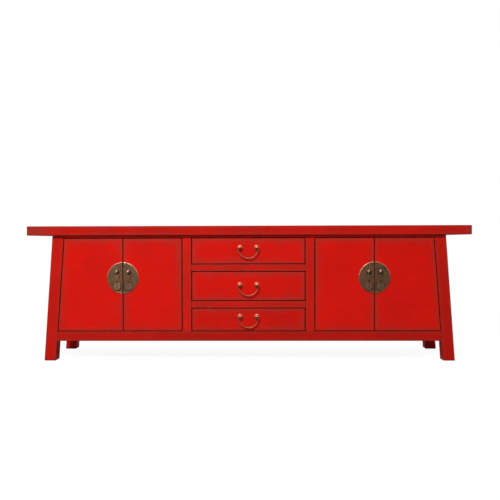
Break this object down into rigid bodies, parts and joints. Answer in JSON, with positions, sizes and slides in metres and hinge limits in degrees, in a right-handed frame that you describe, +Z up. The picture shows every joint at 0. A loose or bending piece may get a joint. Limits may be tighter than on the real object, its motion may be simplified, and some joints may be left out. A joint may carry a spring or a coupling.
{
  "type": "low tv cabinet",
  "caption": "Long low red-lacquered cabinet on splayed legs, with pairs of flush doors under round brass medallions either side of a bank of drawers with brass bail pulls.",
  "frame": {"origin": "on the floor, under the middle of the top board", "axes": "+X to the right along the length, +Y from the front to the back, +Z up"},
  "size_m": [1.8, 0.4, 0.55],
  "materials": {
    "red_lacquer": "satin red lacquer, rubbed through to dark at the edges",
    "plain_wood": "plain planed wood",
    "aged_brass": "dark aged brass",
    "bright_brass": "satin brass, rubbed bright"
  },
  "bodies": {
    "cabinet": {"top_board": "red_lacquer", "leg_front_left": "red_lacquer", "leg_front_right": "red_lacquer", "leg_rear_left": "red_lacquer", "leg_rear_right": "red_lacquer", "front_top_rail": "red_lacquer", "front_bottom_rail": "red_lacquer", "rear_top_rail": "red_lacquer", "rear_bottom_rail": "red_lacquer", "side_rail_left": "red_lacquer", "side_rail_right": "red_lacquer", "side_panel_left": "red_lacquer", "side_panel_right": "red_lacquer", "back_panel": "plain_wood", "floor_board": "plain_wood", "drawer_stile_left": "red_lacquer", "drawer_stile_right": "red_lacquer", "drawer_rail_lower": "red_lacquer", "drawer_rail_upper": "red_lacquer", "partition_left": "plain_wood", "partition_right": "plain_wood", "dust_board_lower": "plain_wood", "dust_board_upper": "plain_wood"},
    "left_outer_door": {"door_outer_left": "red_lacquer", "half_plate_outer_left": "aged_brass"},
    "left_inner_door": {"door_inner_left": "red_lacquer", "half_plate_inner_left": "aged_brass"},
    "right_inner_door": {"door_inner_right": "red_lacquer", "half_plate_inner_right": "aged_brass"},
    "right_outer_door": {"door_outer_right": "red_lacquer", "half_plate_outer_right": "aged_brass"},
    "left_outer_drop": {"drop_pull_outer_left": "aged_brass"},
    "left_inner_drop": {"drop_pull_inner_left": "aged_brass"},
    "right_inner_drop": {"drop_pull_inner_right": "aged_brass"},
    "right_outer_drop": {"drop_pull_outer_right": "aged_brass"},
    "bottom_drawer": {"drawer_front_bottom": "red_lacquer", "drawer_side_left_bottom": "plain_wood", "drawer_side_right_bottom": "plain_wood", "drawer_back_bottom": "plain_wood", "drawer_bottom_bottom": "plain_wood", "pull_post_left_bottom": "bright_brass", "pull_post_right_bottom": "bright_brass"},
    "middle_drawer": {"drawer_front_middle": "red_lacquer", "drawer_side_left_middle": "plain_wood", "drawer_side_right_middle": "plain_wood", "drawer_back_middle": "plain_wood", "drawer_bottom_middle": "plain_wood", "pull_post_left_middle": "bright_brass", "pull_post_right_middle": "bright_brass"},
    "top_drawer": {"drawer_front_top": "red_lacquer", "drawer_side_left_top": "plain_wood", "drawer_side_right_top": "plain_wood", "drawer_back_top": "plain_wood", "drawer_bottom_top": "plain_wood", "pull_post_left_top": "bright_brass", "pull_post_right_top": "bright_brass"},
    "bottom_bail": {"bail_bottom": "bright_brass"},
    "middle_bail": {"bail_middle": "bright_brass"},
    "top_bail": {"bail_top": "bright_brass"}
  },
  "joints": [
    {"name": "left_outer_door_hinge", "type": "hinge", "parent": "cabinet", "child": "left_outer_door", "pos_m": [-0.75748, -0.17, 0.1225], "axis": [-0.0706, 0, -0.9975], "range_deg": [0, 90]},
    {"name": "left_inner_door_hinge", "type": "hinge", "parent": "cabinet", "child": "left_inner_door", "pos_m": [-0.2931, -0.17, 0.1225], "axis": [0, 0, 1], "range_deg": [0, 90]},
    {"name": "right_inner_door_hinge", "type": "hinge", "parent": "cabinet", "child": "right_inner_door", "pos_m": [0.2931, -0.17, 0.1225], "axis": [0, 0, -1], "range_deg": [0, 90]},
    {"name": "right_outer_door_hinge", "type": "hinge", "parent": "cabinet", "child": "right_outer_door", "pos_m": [0.75748, -0.17, 0.1225], "axis": [-0.0706, 0, 0.9975], "range_deg": [0, 90]},
    {"name": "left_outer_drop_pivot", "type": "hinge", "parent": "left_outer_door", "child": "left_outer_drop", "pos_m": [-0.53525, -0.1868, 0.36325], "axis": [-1, 0, 0], "range_deg": [0, 30]},
    {"name": "left_inner_drop_pivot", "type": "hinge", "parent": "left_inner_door", "child": "left_inner_drop", "pos_m": [-0.48845, -0.1868, 0.36325], "axis": [-1, 0, 0], "range_deg": [0, 30]},
    {"name": "right_inner_drop_pivot", "type": "hinge", "parent": "right_inner_door", "child": "right_inner_drop", "pos_m": [0.48845, -0.1868, 0.36325], "axis": [-1, 0, 0], "range_deg": [0, 30]},
    {"name": "right_outer_drop_pivot", "type": "hinge", "parent": "right_outer_door", "child": "right_outer_drop", "pos_m": [0.53525, -0.1868, 0.36325], "axis": [-1, 0, 0], "range_deg": [0, 30]},
    {"name": "bottom_drawer_slide", "type": "slide", "parent": "cabinet", "child": "bottom_drawer", "axis": [0, -1, 0], "range_m": [0, 0.22]},
    {"name": "middle_drawer_slide", "type": "slide", "parent": "cabinet", "child": "middle_drawer", "axis": [0, -1, 0], "range_m": [0, 0.22]},
    {"name": "top_drawer_slide", "type": "slide", "parent": "cabinet", "child": "top_drawer", "axis": [0, -1, 0], "range_m": [0, 0.22]},
    {"name": "bottom_bail_pivot", "type": "hinge", "parent": "bottom_drawer", "child": "bottom_bail", "pos_m": [0, -0.1928, 0.1805], "axis": [-1, 0, 0], "range_deg": [-10, 100]},
    {"name": "middle_bail_pivot", "type": "hinge", "parent": "middle_drawer", "child": "middle_bail", "pos_m": [0, -0.1928, 0.31025], "axis": [-1, 0, 0], "range_deg": [-10, 100]},
    {"name": "top_bail_pivot", "type": "hinge", "parent": "top_drawer", "child": "top_bail", "pos_m": [0, -0.1928, 0.4615], "axis": [-1, 0, 0], "range_deg": [-10, 100]}
  ]
}
